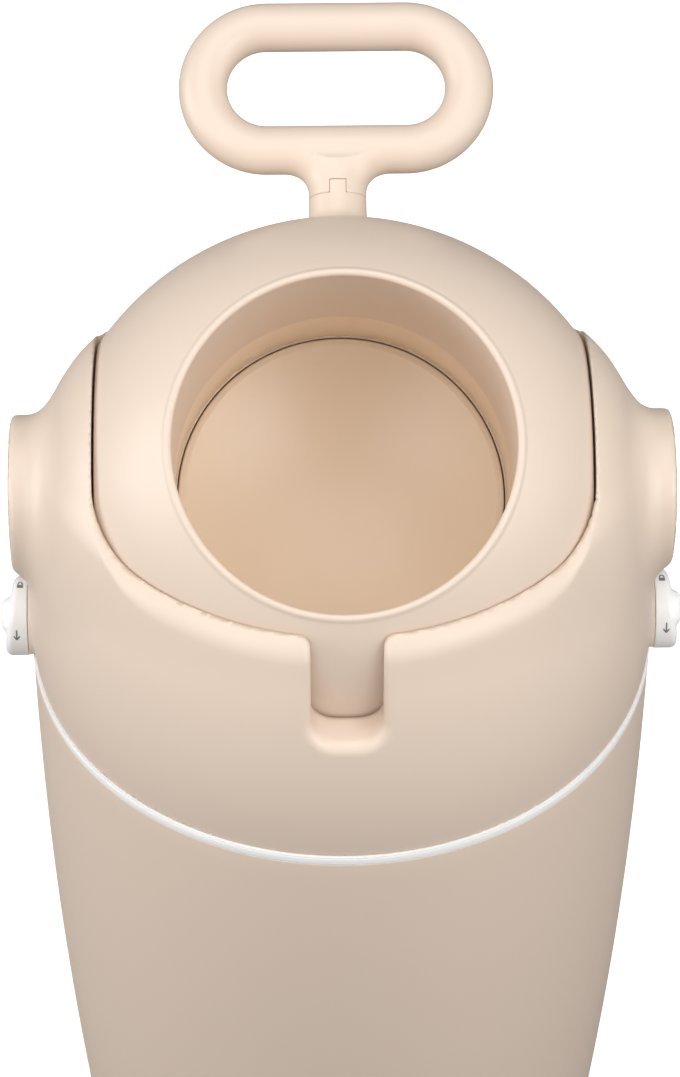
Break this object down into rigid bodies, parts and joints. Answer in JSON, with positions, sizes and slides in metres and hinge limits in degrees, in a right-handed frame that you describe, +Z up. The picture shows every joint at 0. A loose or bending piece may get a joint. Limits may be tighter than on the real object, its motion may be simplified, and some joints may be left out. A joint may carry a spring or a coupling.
{
  "type": "nappy bin",
  "caption": "Free-standing nappy bin with a flip-over drum: a loose piston pushes the nappy into the bag below.",
  "frame": {"origin": "centre of the underside, on the floor, below the drum's axis", "axes": "+Z up, -Y the front that the user faces, +X the user's right, along the drum's axis"},
  "size_m": [0.3802, 0.4024, 0.6941],
  "materials": {
    "beige_plastic": "fine-textured moulded plastic, satin",
    "inner_plastic": "smooth moulded plastic, satin",
    "white_plastic": "smooth moulded plastic, satin",
    "soft_seal": "soft elastomer, matt",
    "steel": "zinc-plated steel"
  },
  "bodies": {
    "bin": {"bin_body": "beige_plastic"},
    "bag_ring": {"bag_ring": "white_plastic"},
    "head": {"head_shell": "beige_plastic", "drop_chute": "inner_plastic", "chute_seal": "soft_seal", "head_screws": "steel", "axle_bush_left": "white_plastic", "axle_bush_right": "white_plastic", "hub_cap_left": "beige_plastic", "hub_cap_right": "beige_plastic"},
    "drum": {"drum_shell_a": "beige_plastic", "drum_shell_b": "beige_plastic", "mouth_ring_a": "beige_plastic", "mouth_ring_b": "beige_plastic", "tube_sleeve": "inner_plastic", "drum_axle_left": "white_plastic", "drum_axle_right": "white_plastic", "axle_screws": "steel", "axle_nuts": "steel", "drum_screws": "steel", "handle": "beige_plastic"},
    "piston": {"piston_cup_a": "inner_plastic", "piston_cup_b": "inner_plastic", "piston_seal_a": "soft_seal", "piston_seal_b": "soft_seal"},
    "lock_left": {"lock_knob_left": "white_plastic", "lock_hook_left": "white_plastic", "lock_screw_left": "steel"},
    "lock_right": {"lock_knob_right": "white_plastic", "lock_hook_right": "white_plastic", "lock_screw_right": "steel"}
  },
  "joints": [
    {"name": "head_lift", "type": "slide", "parent": "bin", "child": "head", "axis": [0, 0, 1], "range_m": [0, 0.12]},
    {"name": "ring_lift", "type": "slide", "parent": "bin", "child": "bag_ring", "axis": [0, 0, 1], "range_m": [0, 0.06]},
    {"name": "drum_flip", "type": "hinge", "parent": "head", "child": "drum", "pos_m": [0, 0, 0.53], "axis": [1, 0, 0], "range_deg": [-35, 145]},
    {"name": "piston_slide", "type": "slide", "parent": "drum", "child": "piston", "axis": [0, -0.5736, 0.8192], "range_m": [0, 0.1358]},
    {"name": "lock_left_turn", "type": "hinge", "parent": "head", "child": "lock_left", "pos_m": [-0.1745, 0, 0.435], "axis": [1, 0, 0], "range_deg": [0, 90]},
    {"name": "lock_right_turn", "type": "hinge", "parent": "head", "child": "lock_right", "pos_m": [0.1745, 0, 0.435], "axis": [1, 0, 0], "range_deg": [0, 90]}
  ],
  "couplings": [
    {"joint": "ring_lift", "follows": "head_lift", "ratio": 0.5}
  ]
}
